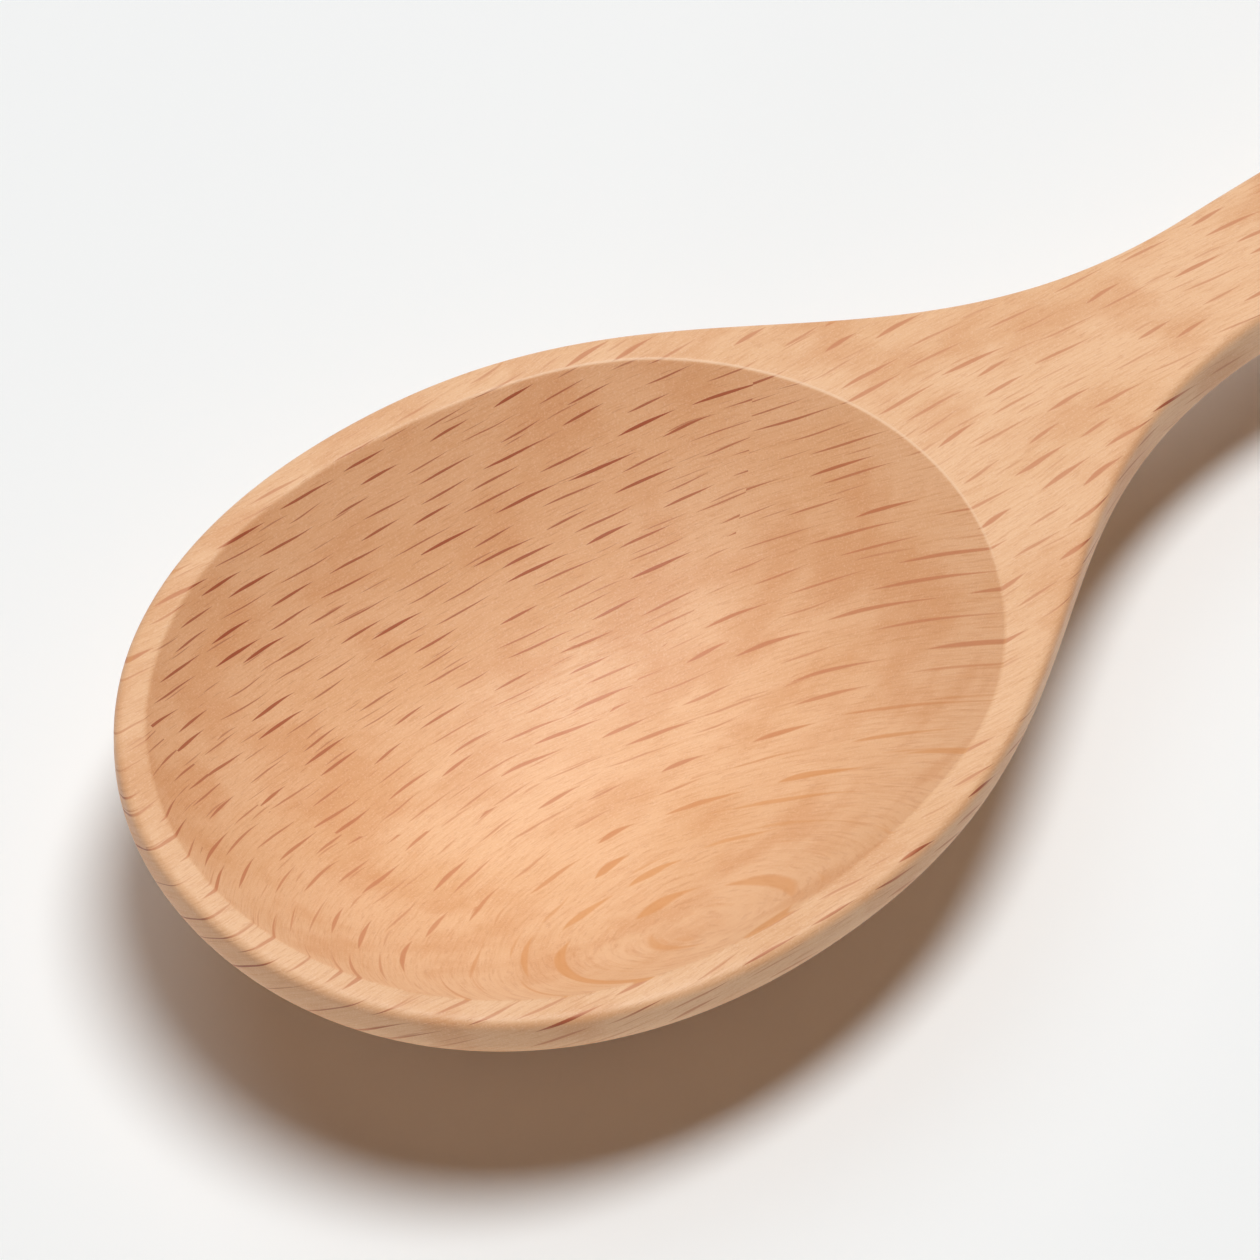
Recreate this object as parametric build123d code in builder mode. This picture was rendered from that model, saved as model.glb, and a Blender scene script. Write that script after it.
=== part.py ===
from build123d import *
import math
import os

# A cooking spoon carved from one piece of beech: an egg-shaped bowl with a flat rim, a slim flat-topped
# neck and a soft oval handle. It is drawn as its blank lies on the bench: flat top face at z = 0, handle
# towards +X, and x = 0 at the middle of the hollow. At the end it is tipped onto a table, where it rests
# on the belly of the bowl and on the heel of the handle.

# Overall length
spoon_length = 300.0

# Hollow of the bowl, and the wood left round and under it
hollow_length = 68.6
hollow_width = 54.7
hollow_depth = 15.0
tip_rim = 2.2
side_rim = 2.65
floor_thickness = 3.6
nose_height = 3.4

# Neck, from the hollow's end to the waist where the spoon is slimmest
neck_length = 31.7
neck_width = 11.8
neck_thickness = 9.0

# Handle, and the rounding at its end
handle_width = 17.0
heel_width = 16.0
handle_thickness = 9.6
end_width = 8.0
end_thickness = 6.0
end_length = 12.0

# Roundings
rim_rounding = 1.0
hollow_rounding = 0.5
belly_rounding = 3.0
handle_rounding = 2.4
end_rounding = 1.3

# How far a trimming or cutting body runs past the bowl
overrun = 3.0

# The bowl is widest a little towards the tip from the middle of the hollow
widest_share = 0.03

# Fullness of the outline's curves: at the tip, at the side, and at both ends of the flank
tip_fullness_share = 0.56
side_fullness_share = 0.62
flank_start_share = 0.489
flank_end_share = 0.455

# Places along the front curve of the outline where the belly is measured
front_shares = (0.25, 0.5, 0.75, 1.0)

# Places along the flank curve, each with its keel from neck to bowl and its side wall from nose to neck
flank_shares = (
    (0.2, 0.75, 0.0),
    (0.3, 0.50, 0.0),
    (0.4, 0.285, 0.1),
    (0.5, 0.145, 0.3),
    (0.6, 0.065, 0.5),
    (0.7, 0.03, 0.7),
    (0.8, 0.01, 0.9),
    (0.9, 0.0, 1.0),
    (1.0, 0.0, 1.0),
)

# Places along the hollow, from its tip end (-1) to its handle end (1), each with the floor's depth
floor_shares = (
    (-1.16, -0.37),
    (-1.0, 0.0),
    (-0.875, 0.272),
    (-0.7, 0.576),
    (-0.35, 0.93),
    (0.0, 1.0),
    (0.35, 0.883),
    (0.7, 0.56),
    (0.875, 0.259),
    (1.0, 0.0),
    (1.16, -0.37),
)

# Section of the neck and handle, in shares of its thickness
neck_wall_share = 0.5
crest_drop_share = 0.04
crown_share = 0.33
handle_wall_share = 0.645

# How much of the handle its swelling and its rounding take, and where it starts to narrow to the heel
swell_share = 0.8
round_share = 0.35
heel_share = 0.75
handle_steps = 12
end_steps = 4
end_arc_share = 0.95

# Places and curves worked out from the sizes
half_bowl = hollow_width / 2 + side_rim
half_neck = neck_width / 2
bowl_height = hollow_depth + floor_thickness
tip_x = -hollow_length / 2 - tip_rim
widest_x = -widest_share * hollow_length / 2
waist_x = hollow_length / 2 + neck_length
end_x = tip_x + spoon_length
heel_x = end_x - end_length
belly_curve = (bowl_height - nose_height) / half_bowl**2
hollow_curve = hollow_depth / (hollow_width / 2) ** 2
section_top = 2 * bowl_height


def between(start, finish, share):
    """Returns the value that lies a share of the way from start to finish."""
    return start + (finish - start) * share


def ease(share):
    """Returns a share that starts and ends gently as the given one goes from 0 to 1."""
    share = min(max(share, 0), 1)
    return share * share * (3 - 2 * share)


def dish_section(x, floor, curve, half_span):
    """Returns a section across the bowl: above a parabola that is lowest at floor, below a flat top."""
    edge = floor + curve * half_span**2
    with BuildSketch(Plane.YZ.offset(x)) as section:
        with BuildLine():
            Bezier((-half_span, edge), (0, 2 * floor - edge), (half_span, edge))
            Line((half_span, edge), (half_span, section_top))
            Line((half_span, section_top), (-half_span, section_top))
            Line((-half_span, section_top), (-half_span, edge))
        make_face()
    return section.sketch


def handle_section(x, share, closing):
    """Returns the oval section at x, a share of the way along the handle, drawn in towards its end."""
    roundness = ease(share / round_share)
    full_width = between(handle_width, heel_width, ease((share - heel_share) / (1 - heel_share)))
    width = between(neck_width, full_width, ease(share / swell_share))
    half_width = between(width, end_width, closing) / 2
    thickness = between(neck_thickness, handle_thickness, ease(share / swell_share))
    pinch = between(1, end_thickness / thickness, closing)

    def height(depth_share):
        return -thickness * between(1 / 2, depth_share, pinch)

    crest = height(crest_drop_share * roundness)
    shoulder = height((crest_drop_share + crown_share) * roundness)
    edge = height(between(neck_wall_share, handle_wall_share, roundness))
    keel = height(1)
    top_rounding = between(rim_rounding, handle_rounding, roundness) * pinch
    under_rounding = between(belly_rounding, handle_rounding, roundness) * pinch
    with BuildSketch(Plane.YZ.offset(x)) as section:
        with BuildLine():
            Bezier((-half_width, shoulder), (0, 2 * crest - shoulder), (half_width, shoulder))
            Line((half_width, shoulder), (half_width, edge))
            Bezier((half_width, edge), (0, 2 * keel - edge), (-half_width, edge))
            Line((-half_width, edge), (-half_width, shoulder))
        make_face()
        fillet(section.vertices().group_by(Axis.Y)[-1], top_rounding)
        fillet(section.vertices().group_by(Axis.Y)[0], under_rounding)
    return section.sketch


# Outline of the bowl and neck seen from above, from the tip to the waist, on the +Y side
front = Bezier(
    (tip_x, 0),
    (tip_x, tip_fullness_share * half_bowl),
    (between(widest_x, tip_x, side_fullness_share), half_bowl),
    (widest_x, half_bowl),
)
flank = Bezier(
    (widest_x, half_bowl),
    (between(widest_x, waist_x, flank_start_share), half_bowl),
    (between(waist_x, widest_x, flank_end_share), half_neck),
    (waist_x, half_neck),
)

# Belly: sections that follow the outline, shallow at the tip and deepest under the middle of the bowl
belly_span = half_bowl + overrun
belly_sections = [
    dish_section(tip_x - overrun, overrun - nose_height, belly_curve, belly_span),
    dish_section(tip_x, -nose_height, belly_curve, belly_span),
]
for share in front_shares:
    place = front @ share
    keel = nose_height + belly_curve * place.Y**2
    belly_sections.append(dish_section(place.X, -keel, belly_curve, belly_span))
for share, keel_share, wall_share in flank_shares:
    place = flank @ share
    keel = between(neck_thickness, bowl_height, keel_share)
    wall = between(nose_height, neck_wall_share * neck_thickness, wall_share)
    curve = (keel - wall) / place.Y**2
    belly_sections.append(dish_section(place.X, -keel, curve, place.Y + overrun))

# Hollow: one parabola across the bowl, carried along the floor's long curve
hollow_sections = []
for share, depth_share in floor_shares:
    x = share * hollow_length / 2
    floor = -depth_share * hollow_depth
    hollow_sections.append(dish_section(x, floor, hollow_curve, hollow_width / 2 + overrun))

# Bowl and neck
with BuildPart() as bowl:
    with BuildSketch():
        with BuildLine():
            add(front)
            add(flank)
            Line((waist_x, half_neck), (waist_x, 0))
            mirror(about=Plane.XZ)
        make_face()
    extrude(amount=-bowl_height - overrun)
    loft(sections=belly_sections, mode=Mode.INTERSECT)
    loft(sections=hollow_sections, mode=Mode.SUBTRACT)
    top_edges = bowl.edges().filter_by_position(Axis.Z, 0, 0).sort_by(SortBy.LENGTH)
    outline_edge = top_edges[-1]
    hollow_edge = top_edges[-2]
    belly_edge = bowl.edges().sort_by(SortBy.LENGTH)[-2:].sort_by(Axis.Z)[0]
    fillet(hollow_edge, hollow_rounding)
    fillet(outline_edge, rim_rounding)
    fillet(belly_edge, belly_rounding)
    waist_face = bowl.faces().sort_by(Axis.X)[-1]

# Handle: sections from the waist to the heel, joined by straight runs, then drawn in to the end
handle_sections = [waist_face]
for step in range(1, handle_steps + 1):
    share = step / handle_steps
    handle_sections.append(handle_section(between(waist_x, heel_x, share), share, 0).face())
end_sections = [handle_sections[-1]]
for step in range(1, end_steps + 1):
    share = step / end_steps
    closing = 1 - math.sqrt(1 - (share * end_arc_share) ** 2)
    closing = closing / (1 - math.sqrt(1 - end_arc_share**2))
    end_sections.append(handle_section(between(heel_x, end_x, share), 1, closing).face())

# The whole spoon as its blank lies on the bench
with BuildPart() as carved:
    loft(sections=end_sections)
    fillet(carved.faces().sort_by(Axis.X)[-1].edges(), end_rounding)
    loft(sections=handle_sections, ruled=True)
    add(bowl.part)

# The spoon tipped onto the table, with its origin under the middle of its box
tilt = math.degrees(math.atan2(bowl_height - handle_thickness, heel_x - widest_x))
tipped = carved.part.rotate(Axis.Y, tilt).bounding_box()
with BuildPart() as spoon:
    with Locations((-tipped.center().X, -tipped.center().Y, -tipped.min.Z)):
        add(carved.part, rotation=(0, tilt, 0))

os.makedirs("parts", exist_ok=True)
spoon.part.label = "spoon"
export_step(spoon.part, "parts/spoon.step")
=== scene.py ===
"""A cooking spoon carved from one piece of beech, lying face up on a pale floor.

Sizes are in millimetres in the frame of the spoon's blank, with the flat top face at z = 0, the handle
towards +X and x = 0 at the middle of the hollow. Placing the piece tips it onto the floor, in metres.
"""

import logging
import math
from collections.abc import Callable
from dataclasses import dataclass, field
from enum import Enum

import bmesh
import bpy
from mathutils import Matrix, Vector


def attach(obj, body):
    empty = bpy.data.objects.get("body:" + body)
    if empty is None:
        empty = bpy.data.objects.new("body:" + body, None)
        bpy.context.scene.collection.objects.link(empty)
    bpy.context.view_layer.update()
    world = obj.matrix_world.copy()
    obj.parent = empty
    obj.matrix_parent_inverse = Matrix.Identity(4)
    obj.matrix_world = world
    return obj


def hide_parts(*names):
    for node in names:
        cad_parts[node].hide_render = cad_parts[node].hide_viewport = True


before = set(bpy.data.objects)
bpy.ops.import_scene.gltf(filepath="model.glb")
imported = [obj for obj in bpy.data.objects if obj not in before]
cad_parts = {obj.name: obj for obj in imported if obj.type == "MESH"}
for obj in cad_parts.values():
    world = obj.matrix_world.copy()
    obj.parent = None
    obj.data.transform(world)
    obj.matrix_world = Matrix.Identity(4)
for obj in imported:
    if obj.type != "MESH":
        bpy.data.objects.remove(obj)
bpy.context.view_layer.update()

log = logging.getLogger("spoon")

Tone = tuple[int, int, int]
Triple = tuple[float, float, float]
Steps = tuple[float, float, float, float]
Socket = bpy.types.NodeSocket

# One millimetre in the scene's metres
MILLIMETRE = 0.001

# Points nearer than this are one point, and points of the bowl's skin lie this near to the waist's section
TOUCH = 0.001
MATCH = 0.05

# Rounds of halving that a search takes
HALVINGS = 32

# The point attribute that marks where a pale highlight is painted along the lip
LIP_HIGHLIGHT = "lip_highlight"

HALF = (0.5, 0.5, 0.5)
WHITE = (1.0, 1.0, 1.0, 1.0)


class Finish(Enum):
    """The two finishes in the scene."""

    BEECH = "beech"
    PALE_FLOOR = "pale_floor"


class Part(Enum):
    """The parts of a section round the handle."""

    CROWN = "crown"
    LEFT = "left"
    RIGHT = "right"
    UNDER = "under"


def between(start: float, finish: float, share: float) -> float:
    """The value that lies a share of the way from start to finish."""
    return start + (finish - start) * share


def ease(share: float) -> float:
    """A share that starts and ends gently as the given one goes from 0 to 1."""
    share = min(max(share, 0.0), 1.0)
    return share * share * (3 - 2 * share)


def search(low: float, high: float, is_short: Callable[[float], bool]) -> float:
    """Closes in on the place where a test stops holding.

    Args:
        low: A place where the test holds.
        high: A place beyond it where the test fails.
        is_short: The test.

    Returns:
        The place where it turns.
    """
    for _ in range(HALVINGS):
        middle = (low + high) / 2
        if is_short(middle):
            low = middle
        else:
            high = middle
    return (low + high) / 2


def tint(red: int, green: int, blue: int) -> tuple[float, float, float, float]:
    """The linear colour of a screen colour given in steps from 0 to 255."""
    shares = (step / 255 for step in (red, green, blue))
    return (*(((s + 0.055) / 1.055) ** 2.4 if s > 0.04 else s / 12.92 for s in shares), 1.0)


def bend(points: tuple[Vector, Vector, Vector], share: float) -> Vector:
    """The point at a share of a quadratic Bezier curve, which stands in for a fillet's arc."""
    start, corner, finish = points
    return start * (1 - share) ** 2 + corner * (2 * share * (1 - share)) + finish * share**2


def tangent_length(rounding: float, slope: float) -> float:
    """How far a rounding reaches from the corner between an upright wall and a face of that slope."""
    return rounding * math.tan((math.pi / 2 - slope) / 2)


def direction(azimuth: float, elevation: float) -> Vector:
    """The direction of an azimuth, from +X towards +Y, and an elevation, both in degrees."""
    turn, rise = math.radians(azimuth), math.radians(elevation)
    return Vector((math.cos(rise) * math.cos(turn), math.cos(rise) * math.sin(turn), math.sin(rise)))


def add_object(name: str, data: bpy.types.ID) -> bpy.types.Object:
    """Makes an object and links it to the scene.

    Args:
        name: Its name.
        data: Its mesh, light or camera.

    Returns:
        The object.
    """
    made = bpy.data.objects.new(name, data)
    bpy.context.scene.collection.objects.link(made)
    return made


@dataclass(frozen=True)
class Sizes:
    """The sizes that the spoon's parts share.

    The bowl is widest at widest_x, a little towards the tip from the middle of the hollow. The neck's
    wall is given as a share of the neck's thickness.
    """

    spoon_length: float = 300.0
    hollow_length: float = 68.6
    hollow_width: float = 54.7
    hollow_depth: float = 15.0
    tip_rim: float = 2.2
    side_rim: float = 2.65
    floor_thickness: float = 3.6
    nose_height: float = 3.4
    widest_x: float = -1.03
    neck_length: float = 31.7
    neck_width: float = 11.8
    neck_thickness: float = 9.0
    neck_wall_share: float = 0.5
    handle_thickness: float = 9.6
    end_length: float = 12.0
    rim_rounding: float = 1.0
    lip_rounding: float = 0.5
    belly_rounding: float = 3.0

    @property
    def half_bowl(self) -> float:
        """Half the bowl's width."""
        return self.hollow_width / 2 + self.side_rim

    @property
    def bowl_height(self) -> float:
        """The height from the belly to the rim."""
        return self.hollow_depth + self.floor_thickness

    @property
    def tip_x(self) -> float:
        """The place of the bowl's tip."""
        return -self.hollow_length / 2 - self.tip_rim

    @property
    def waist_x(self) -> float:
        """The place where the neck is slimmest."""
        return self.hollow_length / 2 + self.neck_length

    @property
    def end_x(self) -> float:
        """The place of the handle's end."""
        return self.tip_x + self.spoon_length

    @property
    def heel_x(self) -> float:
        """The place where the end's rounding starts."""
        return self.end_x - self.end_length

    @property
    def tilt(self) -> float:
        """How far the blank tips, in radians, to rest on its belly and its heel."""
        return math.atan2(self.bowl_height - self.handle_thickness, self.heel_x - self.widest_x)


class Stations:
    """A smooth curve through measured stations, as a shipbuilder's batten lies."""

    def __init__(self, stations: tuple[tuple[float, float], ...]) -> None:
        """Finds the bend of the curve at each station.

        Args:
            stations: The places along the curve in rising order, each with its value.
        """
        self.places = [place for place, _ in stations]
        self.values = [value for _, value in stations]
        count = len(stations)
        gaps = [self.places[i + 1] - self.places[i] for i in range(count - 1)]
        slopes = [(self.values[i + 1] - self.values[i]) / gaps[i] for i in range(count - 1)]
        weights, loads = [0.0] * count, [0.0] * count
        for i in range(1, count - 1):
            span = 2 * (gaps[i - 1] + gaps[i]) - gaps[i - 1] * weights[i - 1]
            weights[i] = gaps[i] / span
            loads[i] = (6 * (slopes[i] - slopes[i - 1]) - gaps[i - 1] * loads[i - 1]) / span
        self.bends = [0.0] * count
        for i in range(count - 2, 0, -1):
            self.bends[i] = loads[i] - weights[i] * self.bends[i + 1]

    def at(self, place: float) -> float:
        """Reads the curve.

        Args:
            place: Where to read it, within the stations.

        Returns:
            The curve's value there.
        """
        last = len(self.places) - 2
        i = next((k for k in range(last + 1) if place <= self.places[k + 1]), last)
        gap = self.places[i + 1] - self.places[i]
        far, near = (place - self.places[i]) / gap, (self.places[i + 1] - place) / gap
        sag = (near**3 - near) * self.bends[i] + (far**3 - far) * self.bends[i + 1]
        return near * self.values[i] + far * self.values[i + 1] + sag * gap**2 / 6


@dataclass
class Outline:
    """The bowl and neck seen from above, from the tip to the waist, on the +Y side.

    The four shares say how full the curves are at the tip, at the side and at both ends of the flank.
    """

    sizes: Sizes = field(default_factory=Sizes)
    tip_fullness: float = 0.56
    side_fullness: float = 0.62
    flank_start: float = 0.489
    flank_end: float = 0.455
    fine_steps: int = 600

    def __post_init__(self) -> None:
        """Lays out the control points of both curves."""
        tip_x, widest_x, waist_x = self.sizes.tip_x, self.sizes.widest_x, self.sizes.waist_x
        half_bowl, half_neck = self.sizes.half_bowl, self.sizes.neck_width / 2
        self.front_points = (
            Vector((tip_x, 0.0)),
            Vector((tip_x, self.tip_fullness * half_bowl)),
            Vector((between(widest_x, tip_x, self.side_fullness), half_bowl)),
            Vector((widest_x, half_bowl)),
        )
        self.flank_points = (
            Vector((widest_x, half_bowl)),
            Vector((between(widest_x, waist_x, self.flank_start), half_bowl)),
            Vector((between(waist_x, widest_x, self.flank_end), half_neck)),
            Vector((waist_x, half_neck)),
        )

    def front(self, share: float) -> Vector:
        """The point at a share of the curve from the tip to the widest place."""
        return self.curve(self.front_points, share)

    def flank(self, share: float) -> Vector:
        """The point at a share of the curve from the widest place to the waist."""
        return self.curve(self.flank_points, share)

    @staticmethod
    def curve(points: tuple[Vector, ...], share: float) -> Vector:
        """Finds a point of a cubic Bezier curve.

        Args:
            points: The four control points.
            share: The share of the curve.

        Returns:
            The point.
        """
        rest = 1 - share
        weights = (rest**3, 3 * rest**2 * share, 3 * rest * share**2, share**3)
        return sum((point * weight for point, weight in zip(points, weights)), Vector((0.0, 0.0)))

    def share_at(self, x: float) -> tuple[bool, float]:
        """Finds the place of x on the outline.

        Args:
            x: The place along the spoon.

        Returns:
            Whether it lies on the flank, and its share of that curve.
        """
        on_flank = x > self.sizes.widest_x
        run = self.flank if on_flank else self.front
        return on_flank, search(0.0, 1.0, lambda share: run(share).x < x)

    def even_points(self, count: int) -> list[tuple[Vector, Vector]]:
        """Walks the outline in even steps.

        Args:
            count: The number of steps from the waist to the tip.

        Returns:
            Each point with its outward direction, the waist's first.
        """
        steps = self.fine_steps
        fine = [self.flank(1 - k / steps) for k in range(steps)]
        fine += [self.front(1 - k / steps) for k in range(steps + 1)]
        lengths = [0.0]
        for k in range(1, len(fine)):
            lengths.append(lengths[-1] + (fine[k] - fine[k - 1]).length)
        walk: list[tuple[Vector, Vector]] = []
        k = 0
        for step in range(count + 1):
            goal = lengths[-1] * step / count
            while k < len(fine) - 2 and lengths[k + 1] < goal:
                k += 1
            share = (goal - lengths[k]) / (lengths[k + 1] - lengths[k])
            along = (fine[k + 1] - fine[k]).normalized()
            walk.append((fine[k].lerp(fine[k + 1], share), Vector((along.y, -along.x))))
        walk[0] = (self.flank_points[-1], Vector((0.0, 1.0)))
        walk[-1] = (self.front_points[0], Vector((-1.0, 0.0)))
        return walk


@dataclass
class Rings:
    """How many rings each zone of the bowl's skin has, from the hollow's floor to the keel."""

    hollow: int = 36
    lip: int = 5
    rim: int = 6
    rim_edge: int = 6
    wall: int = 2
    belly_edge: int = 7
    belly: int = 36

    @property
    def cut_start(self) -> int:
        """The ring along the inner side of the rim's rounded edge."""
        return self.hollow + self.lip + self.rim

    @property
    def cut_end(self) -> int:
        """The ring where the belly's rounded edge ends."""
        return self.cut_start + self.rim_edge + self.wall + self.belly_edge

    @property
    def total(self) -> int:
        """All rings from pole to pole."""
        return self.cut_end + self.belly


@dataclass
class Section:
    """An oval section of the neck or handle: a crown, a wall at each side and a rounded underside."""

    half_width: float
    crest: float
    shoulder: float
    edge: float
    keel: float
    top_rounding: float
    under_rounding: float

    def crown(self, y: float) -> float:
        """The height of the crown."""
        return self.crest + (self.shoulder - self.crest) * (y / self.half_width) ** 2

    def under(self, y: float) -> float:
        """The height of the underside."""
        return self.keel + (self.edge - self.keel) * (y / self.half_width) ** 2

    @property
    def top_slope(self) -> float:
        """The angle of the crown at the wall."""
        return math.atan(2 * (self.crest - self.shoulder) / self.half_width)

    @property
    def under_slope(self) -> float:
        """The angle of the underside at the wall."""
        return math.atan(2 * (self.edge - self.keel) / self.half_width)

    @property
    def top_start(self) -> float:
        """How far from the middle the crown's rounded edge starts."""
        reach = tangent_length(self.top_rounding, self.top_slope)
        return self.half_width - reach * math.cos(self.top_slope)

    @property
    def under_end(self) -> float:
        """How far from the middle the underside's rounded edge ends."""
        reach = tangent_length(self.under_rounding, self.under_slope)
        return self.half_width - reach * math.cos(self.under_slope)

    def side(self, rings: Rings) -> list[Vector]:
        """Draws the +Y side from the crown to the underside.

        Args:
            rings: The counts of points, which match the bowl's.

        Returns:
            The points as y and z.
        """
        start = Vector((self.top_start, self.crown(self.top_start)))
        below = Vector((self.half_width, self.shoulder - tangent_length(self.top_rounding, self.top_slope)))
        arc = (start, Vector((self.half_width, self.shoulder)), below)
        points = [bend(arc, k / rings.rim_edge) for k in range(rings.rim_edge + 1)]
        upper = Vector((self.half_width, self.edge + tangent_length(self.under_rounding, self.under_slope)))
        points += [below.lerp(upper, k / rings.wall) for k in range(1, rings.wall + 1)]
        end = Vector((self.under_end, self.under(self.under_end)))
        arc = (upper, Vector((self.half_width, self.edge)), end)
        return points + [bend(arc, k / rings.belly_edge) for k in range(1, rings.belly_edge + 1)]


@dataclass
class Bowl:
    """The bowl with its hollow, flat rim and belly, and the neck as far as the waist.

    The hollow's edge is looked for within the lip's range, and the lip takes shares of its rounding on
    both sides of it. Both spreads say how the rings crowd towards the lip and the keel. The probe is the
    step that the belly's slope is read over. A pale highlight is painted on the lip where it looks
    towards the highlight heading, the side of the lip that catches the light.
    """

    waist: Section
    sizes: Sizes = field(default_factory=Sizes)
    outline: Outline = field(default_factory=Outline)
    rings: Rings = field(default_factory=Rings)
    waist_columns: int = 16
    side_columns: int = 136
    lip_range: tuple[float, float] = (10.0, 38.0)
    lip_inner: float = 0.42
    lip_outer: float = 0.462
    hollow_spread: float = 0.85
    belly_spread: float = 1.1
    probe: float = 0.05
    # Where the highlight painted along the lip lies: the heading it faces, and where it starts and how far it
    # runs
    highlight_heading: tuple[float, float] = (0.9, 0.43)
    highlight_start: float = 0.55
    highlight_run: float = 0.35

    def __post_init__(self) -> None:
        """Lays the curves of the hollow's floor and of the belly's keel and wall."""
        floor = (
            (-1.16, -0.37), (-1.0, 0.0), (-0.875, 0.272), (-0.7, 0.576), (-0.35, 0.93), (0.0, 1.0),
            (0.35, 0.883), (0.7, 0.56), (0.875, 0.259), (1.0, 0.0), (1.16, -0.37),
        )
        keel = (
            (0.0, 1.0), (0.2, 0.75), (0.3, 0.5), (0.4, 0.285), (0.5, 0.145),
            (0.6, 0.065), (0.7, 0.03), (0.8, 0.01), (0.9, 0.0), (1.0, 0.0),
        )
        wall = (
            (0.0, 0.0), (0.2, 0.0), (0.3, 0.0), (0.4, 0.1), (0.5, 0.3),
            (0.6, 0.5), (0.7, 0.7), (0.8, 0.9), (0.9, 1.0), (1.0, 1.0),
        )
        self.floor_curve = Stations(floor)
        self.keel_curve = Stations(keel)
        self.wall_curve = Stations(wall)
        self.walk = self.outline.even_points(self.side_columns)

    def hollow_height(self, x: float, y: float) -> float:
        """The height of the hollow's surface, below 0 inside the hollow."""
        depth = self.floor_curve.at(x / (self.sizes.hollow_length / 2)) * self.sizes.hollow_depth
        return self.sizes.hollow_depth * (y / (self.sizes.hollow_width / 2)) ** 2 - depth

    def belly_height(self, x: float, y: float) -> float:
        """The height of the belly's surface.

        Args:
            x: The place along the spoon.
            y: The place across it.

        Returns:
            The height, below 0.
        """
        sizes = self.sizes
        on_flank, share = self.outline.share_at(x)
        if not on_flank:
            half = self.outline.front(share).y
            curve = (sizes.bowl_height - sizes.nose_height) / sizes.half_bowl**2
            return curve * (y**2 - half**2) - sizes.nose_height
        half = self.outline.flank(share).y
        keel = between(sizes.neck_thickness, sizes.bowl_height, self.keel_curve.at(share))
        neck_wall = sizes.neck_wall_share * sizes.neck_thickness
        wall = between(sizes.nose_height, neck_wall, self.wall_curve.at(share))
        return (keel - wall) * (y / half) ** 2 - keel

    def lip_radius(self, heading: Vector) -> float:
        """How far the hollow's edge lies from its middle in a direction."""
        low, high = self.lip_range
        return search(low, high, lambda reach: self.hollow_height(heading.x * reach, heading.y * reach) < 0)

    def column(self, number: int) -> tuple[Vector, Vector, float]:
        """Finds a column of the skin on the outline.

        Args:
            number: The column, 0 at the middle of the waist, positive towards +Y.

        Returns:
            Its place on the outline, its outward direction, and for a column across the waist its share
            of the way from the middle to the corner, or else 1.
        """
        side = -1.0 if number < 0 else 1.0
        half_count = self.waist_columns // 2
        beyond = abs(number) - half_count
        if beyond < 0:
            share = number / half_count
            place = Vector((self.sizes.waist_x, self.sizes.neck_width / 2 * share))
            return place, Vector((1.0, 0.0)), share
        place, outward = self.walk[beyond]
        return Vector((place.x, place.y * side)), Vector((outward.x, outward.y * side)), 1.0

    def skin(self, number: int) -> list[Vector]:
        """Draws one column of the skin, from the hollow's floor over the rim to the keel.

        Args:
            number: The column's number.

        Returns:
            The points, one for each ring.
        """
        rings = self.rings
        place, outward, share = self.column(number)
        points = self.hollow_skin(place.normalized())
        if abs(share) < 1:
            return points + self.waist_skin(points[-1], share)

        rounding = self.sizes.rim_rounding
        edge = (place - outward * rounding).to_3d()
        points += [points[-1].lerp(edge, k / rings.rim) for k in range(1, rings.rim + 1)]
        below = Vector((place.x, place.y, -rounding))
        arc = (edge, place.to_3d(), below)
        points += [bend(arc, k / rings.rim_edge) for k in range(1, rings.rim_edge + 1)]

        wall = self.belly_height(place.x, place.y)
        step = place - outward * self.probe
        slope = math.atan2(wall - self.belly_height(step.x, step.y), self.probe)
        reach = tangent_length(self.sizes.belly_rounding, slope)
        start = Vector((place.x, place.y, wall + reach))
        points += [below.lerp(start, k / rings.wall) for k in range(1, rings.wall + 1)]
        end = place - outward * reach * math.cos(slope)
        end = Vector((end.x, end.y, self.belly_height(end.x, end.y)))
        arc = (start, Vector((place.x, place.y, wall)), end)
        points += [bend(arc, k / rings.belly_edge) for k in range(1, rings.belly_edge + 1)]
        return points + self.belly_skin(end)

    def hollow_skin(self, heading: Vector) -> list[Vector]:
        """Starts a column, from the middle of the hollow's floor to the rim beside the lip.

        Args:
            heading: The column's direction from the middle of the hollow.

        Returns:
            The points of the hollow and the lip.
        """
        rings, rounding = self.rings, self.sizes.lip_rounding
        radius = self.lip_radius(heading)
        inner = heading * (radius - rounding * self.lip_inner)
        outer = heading * (radius + rounding * self.lip_outer)
        points: list[Vector] = []
        for ring in range(rings.hollow + 1):
            at = inner * math.sin(ring / rings.hollow * math.pi / 2) ** self.hollow_spread
            points.append(Vector((at.x, at.y, self.hollow_height(at.x, at.y))))
        arc = (points[-1], (heading * radius).to_3d(), outer.to_3d())
        return points + [bend(arc, k / rings.lip) for k in range(1, rings.lip + 1)]

    def belly_skin(self, edge: Vector) -> list[Vector]:
        """Carries a column on from the belly's edge to the middle of the keel.

        Args:
            edge: The column's last point on the belly's edge.

        Returns:
            The rest of the column's points.
        """
        points = []
        for ring in range(1, self.rings.belly + 1):
            at = edge * (1 - ring / self.rings.belly) ** self.belly_spread
            points.append(Vector((at.x, at.y, self.belly_height(at.x, at.y))))
        return points

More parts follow.
